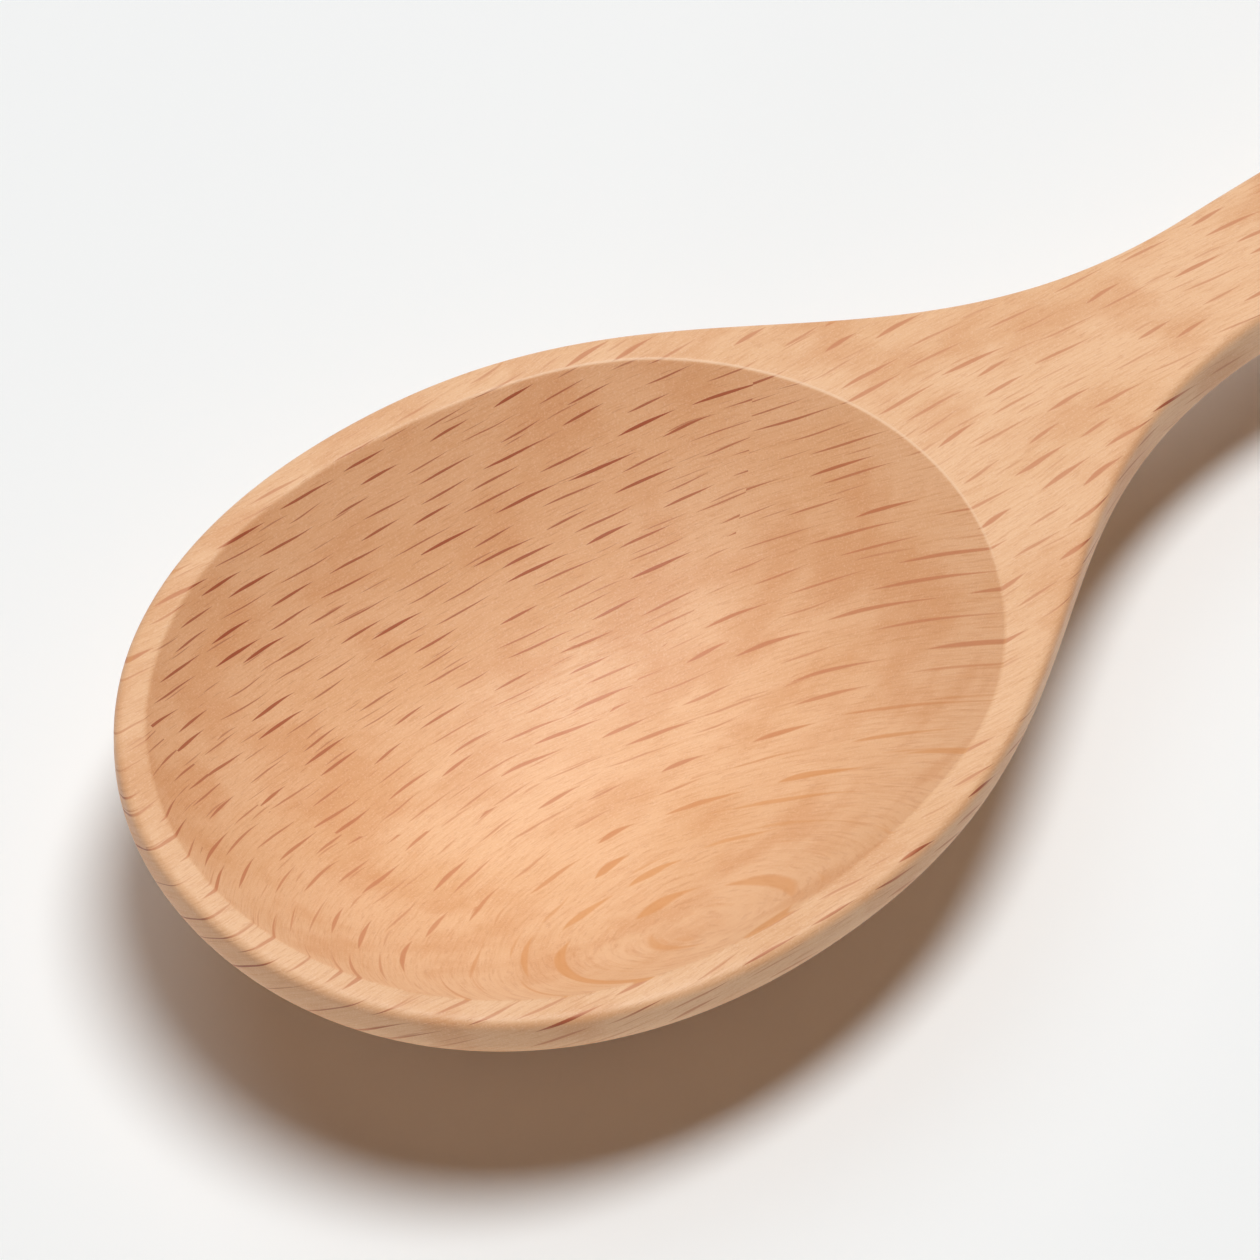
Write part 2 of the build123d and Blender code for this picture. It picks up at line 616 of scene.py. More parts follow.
    def waist_skin(self, start: Vector, share: float) -> list[Vector]:
        """Carries a column across the waist, whose cut face is opened for the handle later.

        Args:
            start: The column's point on the rim beside the hollow.
            share: The column's share of the way from the middle of the waist to its corner.

        Returns:
            The rest of the column's points.
        """
        rings, x = self.rings, self.sizes.waist_x
        top = Vector((x, self.waist.top_start * share, 0.0))
        points = [start.lerp(top, k / rings.rim) for k in range(1, rings.rim + 1)]
        y = self.waist.under_end * share
        under = Vector((x, y, self.waist.under(y)))
        cut = rings.cut_end - rings.cut_start
        points += [top.lerp(under, k / cut) for k in range(1, cut + 1)]
        return points + self.belly_skin(under)

    def lip_glint(self, ring: int, co: Vector) -> float:
        """How strongly a pale highlight is painted on the skin at a point, which it is only along the middle
        rings of the lip.

        Args:
            ring: The point's ring.
            co: The point.

        Returns:
            The painted highlight's strength, from 0 to 1.
        """
        if not self.rings.hollow + 1 < ring < self.rings.hollow + self.rings.lip - 1:
            return 0.0
        # The painted highlight is strongest where the lip looks towards the handle and the far side, where it
        # catches the light
        towards = co.to_2d().normalized().dot(Vector(self.highlight_heading))
        return ease((towards - self.highlight_start) / self.highlight_run)

    def build(self, mesh: bmesh.types.BMesh) -> None:
        """Makes the bowl from a sphere, whose meridians become the columns of the skin.

        Args:
            mesh: The empty mesh.
        """
        total = self.rings.total
        columns = self.waist_columns + 2 * self.side_columns
        bmesh.ops.create_uvsphere(mesh, u_segments=columns, v_segments=total, radius=1.0)
        # The point attribute that carries the highlight painted along the lip
        lip_highlight = mesh.verts.layers.float.new(LIP_HIGHLIGHT)
        skins: dict[int, list[Vector]] = {}
        for vertex in mesh.verts:
            ring = round(math.acos(max(-1.0, min(1.0, vertex.co.z))) / math.pi * total)
            number = round(math.atan2(vertex.co.y, vertex.co.x) / math.tau * columns)
            if ring in (0, total) or number == -columns // 2:
                number = columns // 2
            if number not in skins:
                skins[number] = self.skin(number)
            vertex.co = skins[number][ring]
            vertex[lip_highlight] = self.lip_glint(ring, vertex.co)


class SkinEdge:
    """The open edge of the skin, which is drawn out along the handle from section to section."""

    def __init__(self, mesh: bmesh.types.BMesh, rings: Rings, section: Section) -> None:
        """Finds the open edge, and the place of each of its points on the section that it lies on.

        Args:
            mesh: The mesh.
            rings: The bowl's rings.
            section: The section at the open edge.
        """
        self.mesh = mesh
        self.rings = rings
        self.loop = [edge for edge in mesh.edges if edge.is_boundary]
        self.places = {v: self.place_on(section, v.co) for edge in self.loop for v in edge.verts}

    def place_on(self, section: Section, co: Vector) -> tuple[Part, float]:
        """Names the place of a point on a section.

        Args:
            section: The section that the point lies on.
            co: The point.

        Returns:
            The part of the section, and the point's number on a side or its share of the way across.
        """
        side = section.side(self.rings)
        gaps = [(point - Vector((abs(co.y), co.z))).length for point in side]
        nearest = gaps.index(min(gaps))
        if gaps[nearest] < MATCH:
            return (Part.LEFT if co.y > 0 else Part.RIGHT, float(nearest))
        if abs(co.z) < TOUCH:
            return (Part.CROWN, co.y / section.top_start)
        return (Part.UNDER, co.y / section.under_end)

    def point_at(self, section: Section, place: tuple[Part, float]) -> Vector:
        """Finds a named place on a section.

        Args:
            section: The section.
            place: The part of the section and the point's number or share.

        Returns:
            The point as y and z.
        """
        part, share = place
        if part is Part.CROWN:
            return Vector((share * section.top_start, section.crown(share * section.top_start)))
        if part is Part.UNDER:
            return Vector((share * section.under_end, section.under(share * section.under_end)))
        point = section.side(self.rings)[int(share)]
        return Vector((point.x if part is Part.LEFT else -point.x, point.y))

    def draw_out(self, x: float, section: Section, scale: float = 1.0, middle: float = 0.0) -> None:
        """Extrudes the open edge to the next section.

        Args:
            x: Where the next section lies.
            section: The next section.
            scale: The section's size, less than 1 in the rounding of the end.
            middle: The height that the section shrinks towards.
        """
        made = bmesh.ops.extrude_edge_only(self.mesh, edges=self.loop)["geom"]
        moved: dict[bmesh.types.BMVert, tuple[Part, float]] = {}
        for vertex in (item for item in made if isinstance(item, bmesh.types.BMVert)):
            neighbours = (edge.other_vert(vertex) for edge in vertex.link_edges)
            moved[vertex] = next(self.places[old] for old in neighbours if old in self.places)
        for vertex, place in moved.items():
            point = self.point_at(section, place)
            vertex.co = Vector((x, point.x * scale, middle + (point.y - middle) * scale))
        edges = (item for item in made if isinstance(item, bmesh.types.BMEdge))
        self.loop = [edge for edge in edges if all(v in moved for v in edge.verts)]
        self.places = moved


@dataclass
class Handle:
    """The handle, drawn out from the waist to the heel and closed at its rounded end.

    The crest's drop, the crown and the walls are shares of the thickness. The swell, the rounding and
    the heel's start are shares of the way from the waist to the heel.
    """

    sizes: Sizes = field(default_factory=Sizes)
    width: float = 17.0
    heel_width: float = 16.0
    rounding: float = 2.4
    crest_drop: float = 0.04
    shoulder_drop: float = 0.37
    wall_share: float = 0.645
    swell_share: float = 0.8
    round_share: float = 0.35
    heel_share: float = 0.75
    steps: int = 72
    end_width: float = 8.0
    end_thickness: float = 6.0
    end_steps: int = 14
    end_share: float = 0.94
    end_arc: float = 0.95
    end_face: float = 0.76
    rounding_steps: int = 5
    cap_scales: tuple[float, float] = (0.6, 0.3)

    def section(self, share: float, closing: float = 0.0) -> Section:
        """Finds the section at a place on the handle.

        Args:
            share: The share of the way from the waist to the heel.
            closing: How far the section is drawn in towards the handle's end.

        Returns:
            The section.
        """
        sizes = self.sizes
        roundness = ease(share / self.round_share)
        swell = ease(share / self.swell_share)
        heel = ease((share - self.heel_share) / (1 - self.heel_share))
        width = between(sizes.neck_width, between(self.width, self.heel_width, heel), swell)
        thickness = between(sizes.neck_thickness, sizes.handle_thickness, swell)
        pinch = between(1.0, self.end_thickness / thickness, closing)

        def height(depth: float) -> float:
            """The height of a share of the thickness below the top."""
            return -thickness * between(1 / 2, depth, pinch)

        return Section(
            half_width=between(width, self.end_width, closing) / 2,
            crest=height(self.crest_drop * roundness),
            shoulder=height(self.shoulder_drop * roundness),
            edge=height(between(sizes.neck_wall_share, self.wall_share, roundness)),
            keel=height(1.0),
            top_rounding=between(sizes.rim_rounding, self.rounding, roundness) * pinch,
            under_rounding=between(sizes.belly_rounding, self.rounding, roundness) * pinch,
        )

    def closing(self, share: float) -> float:
        """How far the end is drawn in at a share of its length."""
        return (1 - math.sqrt(1 - (share * self.end_arc) ** 2)) / (1 - math.sqrt(1 - self.end_arc**2))

    def build(self, mesh: bmesh.types.BMesh, rings: Rings) -> None:
        """Opens the cut face at the waist and draws its edge out along the handle.

        Args:
            mesh: The mesh that holds the bowl.
            rings: The bowl's rings.
        """
        waist_x, heel_x, end_x = self.sizes.waist_x, self.sizes.heel_x, self.sizes.end_x
        cut = [face for face in mesh.faces if all(abs(v.co.x - waist_x) < TOUCH for v in face.verts)]
        bmesh.ops.delete(mesh, geom=cut, context="FACES")
        edge = SkinEdge(mesh, rings, self.section(0.0))
        for step in range(1, self.steps + 1):
            share = step / self.steps
            edge.draw_out(between(waist_x, heel_x, share), self.section(share))
        for step in range(1, self.end_steps + 1):
            share = step / self.end_steps * self.end_share
            section = self.section(1.0, self.closing(share))
            edge.draw_out(between(heel_x, end_x, share), section)

        middle = (section.crest + section.keel) / 2
        start_x, drawn = between(heel_x, end_x, self.end_share), self.closing(self.end_share)
        for step in range(1, self.rounding_steps + 1):
            share = step / self.rounding_steps
            left = (1 - share) ** 2
            section = self.section(1.0, between(1.0, drawn, left))
            scale = between(1.0, self.end_face, share**2)
            edge.draw_out(between(end_x, start_x, left), section, scale, middle)
        for scale in self.cap_scales:
            edge.draw_out(end_x, section, self.end_face * scale, middle)
        bmesh.ops.contextual_create(mesh, geom=edge.loop)


class Web:
    """Lays nodes in a node tree and links them."""

    def __init__(self, tree: bpy.types.NodeTree) -> None:
        """Starts on a tree."""
        self.tree = tree

    def add(self, kind: str, inputs: dict | None = None, **settings: object) -> bpy.types.Node:
        """Adds a node.

        Args:
            kind: The node's type.
            inputs: For each input, by name or number, its value or the socket that feeds it.
            **settings: The node's own settings.

        Returns:
            The node.
        """
        node = self.tree.nodes.new(kind)
        for name, value in settings.items():
            setattr(node, name, value)
        for key, value in (inputs or {}).items():
            self.feed(node.inputs[key], value)
        return node

    def feed(self, socket: Socket, value: object) -> None:
        """Links a socket to another, or gives it a value.

        Args:
            socket: The input.
            value: The socket that feeds it, or its value.
        """
        if isinstance(value, Socket):
            self.tree.links.new(value, socket)
        else:
            socket.default_value = value

    def math(self, operation: str, *values: object) -> Socket:
        """The result of a sum on numbers."""
        return self.add("ShaderNodeMath", dict(enumerate(values)), operation=operation).outputs[0]

    def vector(self, operation: str, *values: object) -> Socket:
        """The result of a sum on vectors."""
        node = self.add("ShaderNodeVectorMath", dict(enumerate(values)), operation=operation)
        return node.outputs["Value" if operation == "DOT_PRODUCT" else "Vector"]

    def join(self, x: object, y: object, z: object) -> Socket:
        """A vector of three numbers."""
        return self.add("ShaderNodeCombineXYZ", {0: x, 1: y, 2: z}).outputs[0]

    def split(self, vector: Socket) -> tuple[Socket, ...]:
        """The three numbers of a vector."""
        return tuple(self.add("ShaderNodeSeparateXYZ", {0: vector}).outputs)

    def vary(self, value: Socket, first: float, last: float) -> Socket:
        """A number that goes from first to last as the value goes from 0 to 1."""
        return self.math("MULTIPLY_ADD", value, last - first, first)

    def stretch(self, vector: Socket, sizes: Triple) -> Socket:
        """A vector measured in pattern sizes along the grain, the rays and the rings."""
        return self.vector("MULTIPLY", vector, tuple(1 / size for size in sizes))

    def noise(self, vector: Socket, detail: float, roughness: float = 0.5) -> bpy.types.Node:
        """A noise with one blob for each step of the vector."""
        inputs = {"Vector": vector, "Scale": 1.0, "Detail": detail, "Roughness": roughness}
        return self.add("ShaderNodeTexNoise", inputs)

    def wander(self, vector: Socket, sizes: Triple, reach: Triple) -> Socket:
        """A slow shift that keeps within the reach."""
        blobs = self.noise(self.stretch(vector, sizes), 1.0).outputs["Color"]
        return self.vector("MULTIPLY", self.vector("SUBTRACT", blobs, HALF), reach)

    def step(self, value: Socket, low: object, high: object, first: float = 0.0, last: float = 1.0) -> Socket:
        """A smooth change from first to last as the value goes from low to high."""
        inputs = {"Value": value, "From Min": low, "From Max": high, "To Min": first, "To Max": last}
        return self.add("ShaderNodeMapRange", inputs, interpolation_type="SMOOTHSTEP").outputs[0]

    def blend(self, share: Socket, first: object, second: object) -> Socket:
        """A colour between two."""
        return self.add("ShaderNodeMix", {0: share, 6: first, 7: second}, data_type="RGBA").outputs[2]


def new_group(
    name: str, inputs: dict[str, str], outputs: dict[str, str]
) -> tuple[Web, bpy.types.Node, bpy.types.Node]:
    """Starts a shader node group.

    Args:
        name: The group's name.
        inputs: The type of each input.
        outputs: The type of each output.

    Returns:
        The web on the group's tree, its input node and its output node.
    """
    tree = bpy.data.node_groups.new(name, "ShaderNodeTree")
    for label, kind in inputs.items():
        tree.interface.new_socket(label, in_out="INPUT", socket_type=kind)
    for label, kind in outputs.items():
        tree.interface.new_socket(label, in_out="OUTPUT", socket_type=kind)
    web = Web(tree)
    return web, web.add("NodeGroupInput"), web.add("NodeGroupOutput")


def new_material(finish: Finish) -> tuple[bpy.types.Material, Web]:
    """Starts the material of a finish.

    Args:
        finish: The finish.

    Returns:
        The material, and the web on its empty tree.
    """
    made = bpy.data.materials.new(finish.value)
    made.use_nodes = True
    made.node_tree.nodes.clear()
    return made, Web(made.node_tree)


class RayFlecks:
    """The wood's rays: thin ribbons on edge, cut by the surface into lenses, hooks and patches.

    Each pair is the range in which chance places a ray's value. The scatter is how far chance moves a
    ray in its cell, the shuffle makes a fourth chance out of two others, and the lens power and the
    taper give the ray's pointed shape, thicker at one end.
    """

    scatter: Triple = (0.2, 0.0, 0.42)
    shuffle: float = 7.3
    heights: tuple[float, float] = (0.55, 1.0)
    thicknesses: tuple[float, float] = (0.5, 1.4)
    bows: tuple[float, float] = (-0.06, 0.06)
    leans: tuple[float, float] = (-0.04, 0.04)
    taper: tuple[float, float] = (1.0, 0.55)
    lens_power: float = 1.3
    fading: float = 0.2
    tree: bpy.types.NodeTree | None = None

    @classmethod
    def group(cls) -> bpy.types.NodeTree:
        """Builds the group once, and hands it out.

        Returns:
            The group's tree.
        """
        if cls.tree is None:
            cls.tree = cls.build()
        return cls.tree

    @classmethod
    def build(cls) -> bpy.types.NodeTree:
        """Lays the nodes of the group.

        Returns:
            The group's tree, with the mask of the rays and a random tone for each.
        """
        number, arrow = "NodeSocketFloat", "NodeSocketVector"
        inputs = {"Grain": arrow, "Cell": arrow, "Shift": arrow}
        inputs |= {"Height": number, "Thickness": number, "Share": number, "Softness": number}
        web, given, result = new_group("ray_flecks", inputs, {"Mask": number, "Tone": number})
        cell, softness = given.outputs["Cell"], given.outputs["Softness"]

        moved = web.vector("ADD", given.outputs["Grain"], given.outputs["Shift"])
        along, outward, across = web.split(web.vector("DIVIDE", moved, cell))
        row, slab = web.math("FLOOR", across), web.math("FLOOR", outward)
        start = web.add("ShaderNodeTexWhiteNoise", {"Vector": web.join(row, slab, 0.5)})
        along = web.math("ADD", along, start.outputs["Value"])
        address = web.join(row, slab, web.math("FLOOR", along))
        chance = web.add("ShaderNodeTexWhiteNoise", {"Vector": address}).outputs["Color"]
        red, green, blue = web.add("ShaderNodeSeparateColor", {0: chance}).outputs
        other = web.math("FRACT", web.math("MULTIPLY", web.math("ADD", red, blue), cls.shuffle))

        along = web.math("SUBTRACT", web.math("FRACT", along), 0.5)
        across = web.math("SUBTRACT", web.math("FRACT", across), 0.5)
        jitter = web.vector("MULTIPLY", web.vector("SUBTRACT", chance, HALF), cls.scatter)
        local = web.vector("SUBTRACT", web.join(along, 0.0, across), jitter)
        along, _, across = web.split(web.vector("MULTIPLY", local, cell))

        height = web.math("MULTIPLY", given.outputs["Height"], web.vary(green, *cls.heights))
        share = web.math("DIVIDE", along, height)
        square = web.math("MULTIPLY", share, share)
        lens = web.math("MAXIMUM", web.math("SUBTRACT", 1.0, square), 0.0)
        teardrop = web.math("MULTIPLY", web.math("POWER", lens, cls.lens_power), web.vary(share, *cls.taper))
        bow = web.math("MULTIPLY", square, web.vary(other, *cls.bows))
        lean = web.math("MULTIPLY_ADD", along, web.vary(green, *cls.leans), bow)
        distance = web.math("ABSOLUTE", web.math("ADD", across, lean))
        thickness = web.math("MULTIPLY", given.outputs["Thickness"], web.vary(other, *cls.thicknesses))
        margin = web.math("SUBTRACT", web.math("MULTIPLY", thickness, teardrop), distance)
        mask = web.step(margin, web.math("MULTIPLY", softness, -1.0), softness)
        mask = web.math("MULTIPLY", mask, web.step(lens, 0.0, cls.fading))
        chosen = web.math("LESS_THAN", blue, given.outputs["Share"])
        web.feed(result.inputs["Mask"], web.math("MULTIPLY", mask, chosen))
        web.feed(result.inputs["Tone"], other)
        return web.tree


@dataclass(frozen=True)
class RayLayer:
    """One layer of rays of like size.

    Each ray has a cell of its own, measured along the grain, along the ray and across it. The layer is
    shifted from the others, the height is half the tallest ray's, and the share is of the cells that
    hold a ray.
    """

    cell: Triple
    shift: Triple
    height: float
    share: float

    def place(self, web: Web, grain: Socket, thickness: object, softness: object) -> bpy.types.Node:
        """Places the layer in a material.

        Args:
            web: The material's web.
            grain: The wood's coordinates.
            thickness: Half a usual ray's thickness.
            softness: How soft its edge is.

        Returns:
            The group's node.
        """
        node = web.add("ShaderNodeGroup", node_tree=RayFlecks.group())
        values = {"Grain": grain, "Cell": self.cell, "Shift": self.shift, "Height": self.height}
        values |= {"Thickness": thickness, "Share": self.share, "Softness": softness}
        for name, value in values.items():
            web.feed(node.inputs[name], value)
        return node


@dataclass(frozen=True)
class Veil:
    """A noise in the wood that tints it with a tone, from nothing where it is low to its strength."""

    sizes: Triple
    tone: Tone
    low: float
    high: float
    strength: float
    detail: float = 1.0
    roughness: float = 0.5

    def lay(self, web: Web, grain: Socket, under: object) -> tuple[Socket, Socket]:
        """Lays the veil over a colour.

        Args:
            web: The material's web.
            grain: The wood's coordinates.
            under: The colour.

        Returns:
            The tinted colour, and the noise.
        """
        noise = web.noise(web.stretch(grain, self.sizes), self.detail, self.roughness).outputs["Fac"]
        share = web.step(noise, self.low, self.high, 0.0, self.strength)
        return web.blend(share, under, tint(*self.tone)), noise


@dataclass(frozen=True)
class Beech:
    """Unvarnished beech, sanded and lightly oiled, as a solid pattern that runs through the spoon.

    The pattern is measured in millimetres along the grain, along the rays and across both. The angles
    are in degrees. Facing is how squarely the surface looks across grain and rays, and endwise how
    squarely it looks along the grain. A value that follows one of them is given as the two places
    between which it changes, and its value at each.
    """

    grain_turn: float = -2.6
    grain_dip: float = -1.0
    ray_lean: float = 49.5
    waver_sizes: Triple = (30.0, 60.0, 30.0)
    waver_reach: Triple = (0.0, 3.5, 3.0)
    ripple_sizes: Triple = (5.0, 30.0, 4.0)
    ripple_reach: Triple = (0.0, 0.4, 0.3)

    pale: Tone = (239, 195, 153)
    honey: Tone = (229, 180, 134)
    deep: Tone = (210, 146, 95)
    ray_dark: Tone = (156, 72, 42)
    ray_soft: Tone = (198, 126, 86)
    ray_glow: Tone = (218, 152, 92)
    # The colour of the highlight painted along the lip
    lip_highlight: Tone = (250, 216, 180)
    cloud: Veil = Veil((14.0, 9.0, 6.0), honey, 0.4, 0.75, 0.8, detail=3.0)
    blotch: Veil = Veil((9.0, 5.0, 6.0), deep, 0.45, 0.66, 0.42, detail=3.0)
    fibre: Veil = Veil((3.5, 6.0, 0.14), deep, 0.42, 0.75, 0.34, detail=3.0, roughness=0.65)
    thread: Veil = Veil((1.0, 4.0, 0.075), (194, 124, 80), 0.55, 0.72, 0.22)
    vessel: Veil = Veil((1.6, 0.1, 0.1), (190, 124, 84), 0.6, 0.75, 0.18)
    grit: Veil = Veil((0.16, 0.13, 0.13), (250, 216, 184), 0.5, 0.75, 0.26)
    # Deeper colour where the surface looks least across the rays, most on the hollow's far wall: partly a
    # tone of the grain, partly painted shade on that wall
    facing_tone_and_shade: Steps = (0.05, 0.55, 0.3, 0.0)
    # Deeper colour where the surface looks along the grain, on the hollow's walls towards the tip and the
    # sides: partly the wood's darker end grain, partly painted shade on those walls
    endwise_tone_and_shade: Steps = (0.15, 0.65, 0.0, 0.16)
    # How strongly the lip's highlight is painted
    lip_highlight_strength: float = 0.55

    large: RayLayer = RayLayer((6.4, 40.0, 1.22), (2.0, 0.0, 0.6), 3.1, 0.92)
    middle: RayLayer = RayLayer((4.4, 30.0, 1.15), (1.7, 7.0, 0.7), 1.9, 0.3)
    small: RayLayer = RayLayer((1.9, 20.0, 0.6), (0.9, 3.0, 1.3), 0.8, 0.4)
    large_thickness: Steps = (0.84, 0.99, 0.09, 0.12)
    middle_thickness: float = 0.045
    small_thickness: float = 0.02
    softness: Steps = (0.3, 0.75, 0.018, 0.036)
    small_softness: float = 0.015
    large_strengths: tuple[float, float] = (0.7, 1.0)
    middle_strength: float = 0.55
    small_strength: float = 0.3
    ray_softening: tuple[float, float] = (0.15, 0.65)
    ray_glowing: tuple[float, float] = (0.8, 0.97)
    ray_strength: Steps = (0.45, 0.8, 0.95, 0.75)

    roughness: tuple[float, float] = (0.36, 0.61)
    vessel_height: float = -0.4
    fibre_height: float = 0.6
    grit_height: float = 0.5
    ray_height: float = 0.35
    relief_strength: float = 0.3
    relief_depth: float = 0.00006
    refraction: float = 1.45
    shine: float = 0.4

    def axes(self) -> Matrix:
        """Works out the directions of the wood in the frame of the lying spoon.

        Returns:
            A matrix whose rows are the grain, the rays and the direction across both.
        """
        turn, dip, lean = (math.radians(angle) for angle in (self.grain_turn, self.grain_dip, self.ray_lean))
        along = Vector((math.cos(turn), math.sin(turn), math.sin(dip))).normalized()
        flat = Vector((-math.sin(turn), math.cos(turn), 0.0))
        up = Vector((0.0, 0.0, 1.0))
        across = (flat * math.cos(lean) + up * math.sin(lean)).normalized()
        across = (across - along * across.dot(along)).normalized()
        ray = across.cross(along)
        tip = Matrix.Rotation(Sizes().tilt, 3, "Y")
        return Matrix([tip @ along, tip @ ray, tip @ across])

    def grain(self, web: Web, place: Socket, axes: Matrix) -> Socket:
        """Turns the object's coordinates into the wood's, which wander as a tree grows.

        Args:
            web: The material's web.
            place: The object's coordinates.
            axes: The directions of the wood.

        Returns:
            The wood's coordinates.
        """
        inputs = {"Vector": place, "Rotation": axes.to_euler("XYZ"), "Scale": (1 / MILLIMETRE,) * 3}
        straight = web.add("ShaderNodeMapping", inputs, vector_type="POINT").outputs[0]
        waver = web.wander(straight, self.waver_sizes, self.waver_reach)
        ripple = web.wander(straight, self.ripple_sizes, self.ripple_reach)
        return web.vector("ADD", straight, web.vector("ADD", waver, ripple))

    def rays(self, web: Web, grain: Socket, facing: Socket) -> Socket:
        """Lays the three layers of rays over each other.

        Args:
            web: The material's web.
            grain: The wood's coordinates.
            facing: How squarely the surface looks across grain and rays.

        Returns:
            The mask of all the rays.
        """
        softness = web.step(facing, *self.softness)
        large = self.large.place(web, grain, web.step(facing, *self.large_thickness), softness)
        middle = self.middle.place(web, grain, self.middle_thickness, softness)
        small = self.small.place(web, grain, self.small_thickness, self.small_softness)
        strength = web.vary(large.outputs["Tone"], *self.large_strengths)
        mask = web.math("MULTIPLY", large.outputs["Mask"], strength)
        mask = web.math("MAXIMUM", mask, web.math("MULTIPLY", middle.outputs["Mask"], self.middle_strength))
        return web.math("MAXIMUM", mask, web.math("MULTIPLY", small.outputs["Mask"], self.small_strength))

    def material(self) -> bpy.types.Material:
        """Builds the material.

        Returns:
            The material.
        """
        made, web = new_material(Finish.BEECH)
        axes = self.axes()
        coordinates = web.add("ShaderNodeTexCoord")
        normal = coordinates.outputs["Normal"]
        facing = web.math("ABSOLUTE", web.vector("DOT_PRODUCT", normal, tuple(axes[2])))
        endwise = web.math("ABSOLUTE", web.vector("DOT_PRODUCT", normal, tuple(axes[0])))
        grain = self.grain(web, coordinates.outputs["Object"], axes)
        rays = self.rays(web, grain, facing)

        colour, _ = self.cloud.lay(web, grain, tint(*self.pale))
        colour, _ = self.blotch.lay(web, grain, colour)
        # Deepens the colour most on the hollow's far wall: partly a tone of the grain, partly painted shade
        colour = web.blend(web.step(facing, *self.facing_tone_and_shade), colour, tint(*self.deep))
        # Deepens the colour on walls that look along the grain: partly darker end grain, partly painted shade
        colour = web.blend(web.step(endwise, *self.endwise_tone_and_shade), colour, tint(*self.deep))
        colour, fibre = self.fibre.lay(web, grain, colour)
        colour, _ = self.thread.lay(web, grain, colour)
        colour, vessel = self.vessel.lay(web, grain, colour)
        colour, grit = self.grit.lay(web, grain, colour)

        ray = web.blend(web.step(facing, *self.ray_softening), tint(*self.ray_dark), tint(*self.ray_soft))
        ray = web.blend(web.step(facing, *self.ray_glowing), ray, tint(*self.ray_glow))
        colour = web.blend(web.math("MULTIPLY", rays, web.step(facing, *self.ray_strength)), colour, ray)
        # Paints a pale highlight along the lip, on the side that catches the light
        lip_glint = web.add("ShaderNodeAttribute", attribute_name=LIP_HIGHLIGHT).outputs["Fac"]
        colour = web.blend(web.math("MULTIPLY", lip_glint, self.lip_highlight_strength), colour, tint(*self.lip_highlight))

        vessel = web.step(vessel, self.vessel.low, self.vessel.high)
        relief = web.math("MULTIPLY", fibre, self.fibre_height)
        relief = web.math("MULTIPLY_ADD", vessel, self.vessel_height, relief)
        relief = web.math("MULTIPLY_ADD", grit, self.grit_height, relief)
        relief = web.math("MULTIPLY_ADD", rays, self.ray_height, relief)
        inputs = {"Height": relief, "Strength": self.relief_strength, "Distance": self.relief_depth}
        bump = web.add("ShaderNodeBump", inputs)
        inputs = {"Base Color": colour, "Roughness": web.vary(fibre, *self.roughness)}
        inputs |= {"Normal": bump.outputs[0], "IOR": self.refraction, "Specular IOR Level": self.shine}
        shader = web.add("ShaderNodeBsdfPrincipled", inputs)
        web.add("ShaderNodeOutputMaterial", {"Surface": shader.outputs[0]})
        return made


@dataclass(frozen=True)
class PaleFloor:
    """A matt white tabletop."""

    colour: Tone = (246, 251, 252)
    roughness: float = 0.9
    shine: float = 0.1

    def material(self) -> bpy.types.Material:
        """Builds the material.

        Returns:
            The material.
        """
        made, web = new_material(Finish.PALE_FLOOR)
        inputs = {"Base Color": tint(*self.colour), "Roughness": self.roughness}
        shader = web.add("ShaderNodeBsdfPrincipled", inputs | {"Specular IOR Level": self.shine})
        web.add("ShaderNodeOutputMaterial", {"Surface": shader.outputs[0]})
        return made


@dataclass
class Spoon:
    """The whole spoon, one piece of wood, and how far its blank is moved once it is tipped."""

    sizes: Sizes = field(default_factory=Sizes)
    handle: Handle = field(default_factory=Handle)
    finish: Beech = field(default_factory=Beech)
    shift: Triple = (-113.338, 0.0, 18.5916)

    def placing(self) -> Matrix:
        """The move from the blank's frame in millimetres to the floor's in metres."""
        tip = Matrix.Rotation(self.sizes.tilt, 4, "Y")
        return Matrix.Scale(MILLIMETRE, 4) @ Matrix.Translation(self.shift) @ tip

    def build(self) -> bpy.types.Object:
        """Makes the spoon and dresses it.

        Returns:
            The spoon's object.
        """
        mesh = bmesh.new()
        bowl = Bowl(self.handle.section(0.0))
        bowl.build(mesh)
        self.handle.build(mesh, bowl.rings)
        bmesh.ops.transform(mesh, matrix=self.placing(), verts=mesh.verts)
        bmesh.ops.recalc_face_normals(mesh, faces=mesh.faces)
        data = bpy.data.meshes.new("spoon_body")
        mesh.to_mesh(data)
        mesh.free()
        data.shade_smooth()
        data.materials.append(self.finish.material())
        piece = add_object("spoon_body", data)
        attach(piece, "root")
        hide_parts("spoon")
        return piece


@dataclass(frozen=True)
class Lamp:
    """An oval lamp that looks at the bowl.

    It stands at an azimuth and an elevation in degrees. Its size is its width and its height as seen
    from the bowl, in metres.
    """

    name: str
    azimuth: float
    elevation: float
    size: tuple[float, float]
    power: float

    def build(self, target: Vector, distance: float) -> bpy.types.Object:
        """Makes the lamp.

        Args:
            target: The point that it looks at.
            distance: How far away it stands.

        Returns:
            The lamp.
        """
        away = direction(self.azimuth, self.elevation)
        data = bpy.data.lights.new(self.name, "AREA")
        data.shape = "ELLIPSE"
        data.size, data.size_y = self.size
        data.energy = self.power
        lamp = add_object(self.name, data)
        lamp.location = target + away * distance
        lamp.rotation_euler = away.to_track_quat("Z", "Y").to_euler()
        return lamp


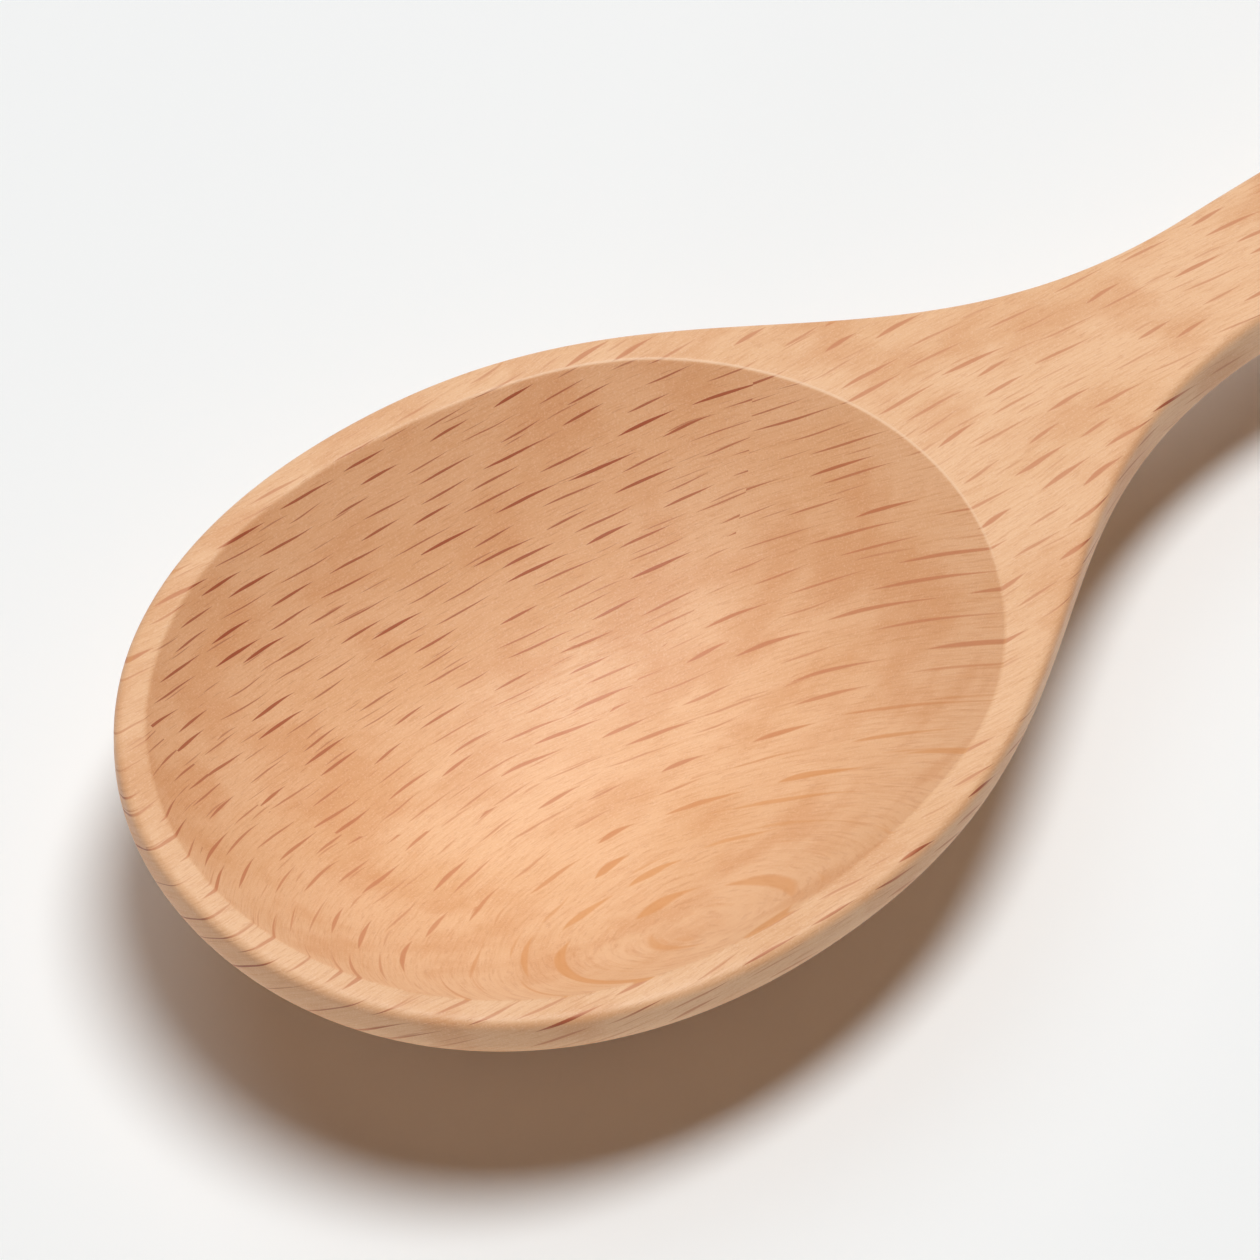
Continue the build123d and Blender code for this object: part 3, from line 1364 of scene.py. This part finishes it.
@dataclass
class Studio:
    """The floor, the light and the camera, in metres and degrees, with the lens in millimetres."""

    target: Triple = (-0.10787, 0.00059, 0.0184)
    azimuth: float = -129.89
    elevation: float = 51.77
    distance: float = 0.79
    lens: float = 300.0
    sensor: float = 36.0
    clip_start: float = 0.01
    floor_size: float = 3.0
    finish: PaleFloor = field(default_factory=PaleFloor)
    lamp_distance: float = 2.0
    lamps: tuple[Lamp, ...] = (
        Lamp("key", 3.0, 81.5, (0.62, 1.05), 31.5),
        Lamp("back", 80.0, 60.0, (1.4, 1.4), 7.0),
        Lamp("left", -160.0, 6.0, (0.3, 0.3), 4.5),
    )
    fill_colour: tuple[float, float, float, float] = (1.0, 0.45, 0.28, 1.0)
    fill_strength: float = 0.06

    def build_floor(self) -> bpy.types.Object:
        """Makes the floor.

        Returns:
            The floor.
        """
        mesh = bmesh.new()
        bmesh.ops.create_grid(mesh, x_segments=1, y_segments=1, size=self.floor_size)
        data = bpy.data.meshes.new("floor")
        mesh.to_mesh(data)
        mesh.free()
        data.materials.append(self.finish.material())
        floor = add_object("floor", data)
        return floor

    def build_sky(self) -> None:
        """Fills the shadows with a faint warm light, with a white backdrop for the camera and in gloss."""
        world = bpy.data.worlds.new("studio")
        world.use_nodes = True
        world.node_tree.nodes.clear()
        web = Web(world.node_tree)
        inputs = {"Color": self.fill_colour, "Strength": self.fill_strength}
        fill = web.add("ShaderNodeBackground", inputs)
        backdrop = web.add("ShaderNodeBackground", {"Color": WHITE, "Strength": 1.0})
        path = web.add("ShaderNodeLightPath")
        seen = web.math("MAXIMUM", path.outputs["Is Camera Ray"], path.outputs["Is Transmission Ray"])
        seen = web.math("MAXIMUM", seen, path.outputs["Is Glossy Ray"])
        mixed = web.add("ShaderNodeMixShader", {0: seen, 1: fill.outputs[0], 2: backdrop.outputs[0]})
        web.add("ShaderNodeOutputWorld", {"Surface": mixed.outputs[0]})
        bpy.context.scene.world = world

    def build_camera(self) -> bpy.types.Object:
        """Makes the camera at the photograph's angle.

        Returns:
            The camera.
        """
        back = direction(self.azimuth, self.elevation)
        data = bpy.data.cameras.new("camera")
        data.lens = self.lens
        data.sensor_width = self.sensor
        data.clip_start = self.clip_start
        camera = add_object("camera", data)
        camera.location = Vector(self.target) + back * self.distance
        camera.rotation_euler = back.to_track_quat("Z", "Y").to_euler()
        bpy.context.scene.camera = camera
        return camera

    def build(self) -> None:
        """Sets up the whole studio."""
        self.build_floor()
        for lamp in self.lamps:
            lamp.build(Vector(self.target), self.lamp_distance)
        self.build_sky()
        self.build_camera()
        bpy.context.scene.view_settings.view_transform = "Standard"


def main() -> None:
    """Builds the spoon and the studio."""
    logging.basicConfig(level=logging.INFO, format="%(name)s: %(message)s")
    piece = Spoon().build()
    log.info("%s has %d vertices", piece.name, len(piece.data.vertices))
    Studio().build()


if __name__ == "__main__":
    main()
